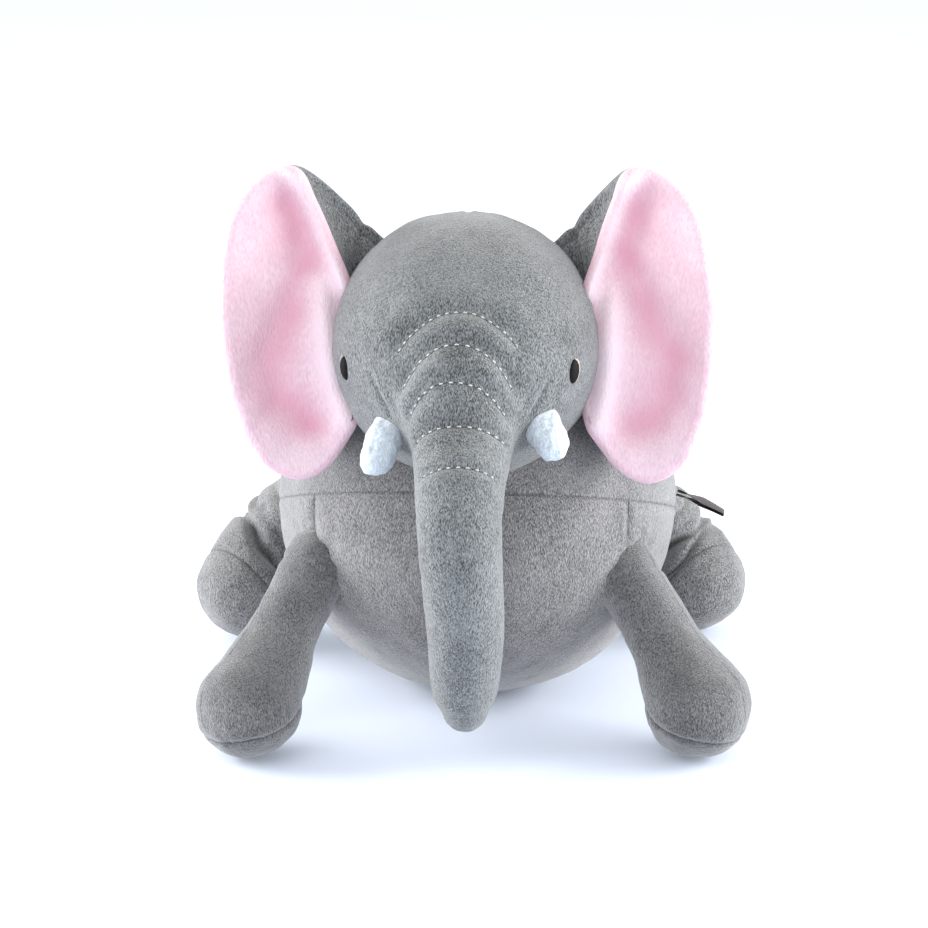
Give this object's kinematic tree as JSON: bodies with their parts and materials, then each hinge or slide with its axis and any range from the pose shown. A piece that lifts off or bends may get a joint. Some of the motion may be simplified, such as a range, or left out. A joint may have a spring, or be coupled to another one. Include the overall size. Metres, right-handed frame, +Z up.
{
  "type": "stuffed elephant toy",
  "caption": "Round plush elephant that sits on its belly, with cupped ears, a hanging trunk, short tusks and four splayed legs on sewn joints.",
  "frame": {"origin": "middle of the flat patch that the belly rests on", "axes": "+Z up, the face looks along -Y, +X is the side on the right of a viewer who faces the toy"},
  "size_m": [0.2445, 0.235, 0.2333],
  "materials": {
    "grey_plush": "short brushed mid-grey pile with a soft sheen",
    "leg_plush": "the same short pile brushed the other way, so it looks darker",
    "pink_plush": "longer fluffy pink pile",
    "white_plush": "short white pile",
    "black_embroidery": "satin-stitched black thread",
    "pale_thread": "pale sewing thread",
    "brown_ribbon": "dark woven satin ribbon, blank",
    "filling": "loose white polyester fibre"
  },
  "bodies": {
    "torso": {"neck_panel": "grey_plush", "back_panel_left": "grey_plush", "back_panel_right": "grey_plush", "belly_panel": "grey_plush", "seat_panel": "grey_plush", "side_panel_left": "grey_plush", "side_panel_right": "grey_plush", "body_filling": "filling"},
    "head": {"face_panel": "grey_plush", "chin_panel": "grey_plush", "head_back_panel_left": "grey_plush", "head_back_panel_right": "grey_plush", "head_filling": "filling", "eye_left": "black_embroidery", "eye_right": "black_embroidery", "tusk_left_cover": "white_plush", "tusk_left_filling": "filling", "tusk_right_cover": "white_plush", "tusk_right_filling": "filling", "forehead_topstitching": "pale_thread"},
    "trunk": {"trunk_top_panel": "grey_plush", "trunk_underside_panel": "grey_plush", "trunk_filling": "filling", "trunk_topstitching": "pale_thread"},
    "ear_left": {"ear_left_front": "pink_plush", "ear_left_wadding": "filling", "ear_left_back": "grey_plush"},
    "ear_right": {"ear_right_front": "pink_plush", "ear_right_wadding": "filling", "ear_right_back": "grey_plush"},
    "front_leg_left": {"front_leg_left_outer_panel": "leg_plush", "front_leg_left_inner_panel": "leg_plush", "front_leg_left_sole": "leg_plush", "front_leg_left_filling": "filling"},
    "front_leg_right": {"front_leg_right_outer_panel": "leg_plush", "front_leg_right_inner_panel": "leg_plush", "front_leg_right_sole": "leg_plush", "front_leg_right_filling": "filling"},
    "hind_leg_left": {"hind_leg_left_outer_panel": "leg_plush", "hind_leg_left_inner_panel": "leg_plush", "hind_leg_left_sole": "leg_plush", "hind_leg_left_filling": "filling"},
    "hind_leg_right": {"hind_leg_right_outer_panel": "leg_plush", "hind_leg_right_inner_panel": "leg_plush", "hind_leg_right_sole": "leg_plush", "hind_leg_right_filling": "filling"},
    "tail": {"tail": "grey_plush", "tail_tuft": "grey_plush"},
    "label": {"side_label": "brown_ribbon"}
  },
  "joints": [
    {"name": "head_nod", "type": "hinge", "parent": "torso", "child": "head", "pos_m": [-0.002, -0.05, 0.162], "axis": [-1, 0, 0], "range_deg": [-3, 12], "stiffness_Nm_per_rad": 0.8},
    {"name": "trunk_swing", "type": "hinge", "parent": "head", "child": "trunk", "pos_m": [-0.001, -0.084, 0.143], "axis": [-1, 0, 0], "range_deg": [-5, 25], "stiffness_Nm_per_rad": 0.06},
    {"name": "ear_left_flap", "type": "hinge", "parent": "head", "child": "ear_left", "pos_m": [-0.054, -0.051, 0.166], "axis": [-0.0585, 0.2347, 0.9703], "range_deg": [-4, 30], "stiffness_Nm_per_rad": 0.03},
    {"name": "ear_right_flap", "type": "hinge", "parent": "head", "child": "ear_right", "pos_m": [0.0505, -0.049, 0.166], "axis": [0.0464, -0.2609, -0.9642], "range_deg": [-4, 30], "stiffness_Nm_per_rad": 0.03},
    {"name": "front_leg_left_swing", "type": "hinge", "parent": "torso", "child": "front_leg_left", "pos_m": [-0.0625, -0.0525, 0.071], "axis": [-0.7588, -0.6374, -0.1336], "range_deg": [-18, 20], "stiffness_Nm_per_rad": 0.15},
    {"name": "front_leg_right_swing", "type": "hinge", "parent": "torso", "child": "front_leg_right", "pos_m": [0.0655, -0.048, 0.07], "axis": [-0.7979, 0.5847, 0.1462], "range_deg": [-18, 20], "stiffness_Nm_per_rad": 0.15},
    {"name": "hind_leg_left_swing", "type": "hinge", "parent": "torso", "child": "hind_leg_left", "pos_m": [-0.068, 0.038, 0.068], "axis": [-0.8592, 0.4801, -0.1769], "range_deg": [-18, 20], "stiffness_Nm_per_rad": 0.15},
    {"name": "hind_leg_right_swing", "type": "hinge", "parent": "torso", "child": "hind_leg_right", "pos_m": [0.062, 0.048, 0.068], "axis": [-0.7784, -0.6026, 0.1758], "range_deg": [-18, 20], "stiffness_Nm_per_rad": 0.15},
    {"name": "tail_swing", "type": "hinge", "parent": "torso", "child": "tail", "pos_m": [0, 0.086, 0.082], "axis": [0, 1, 0], "range_deg": [-35, 35], "stiffness_Nm_per_rad": 0.01},
    {"name": "label_flap", "type": "hinge", "parent": "torso", "child": "label", "pos_m": [0.0846, 0.004, 0.0826], "axis": [0, 0.9198, -0.3923], "range_deg": [-20, 20], "stiffness_Nm_per_rad": 0.002}
  ]
}
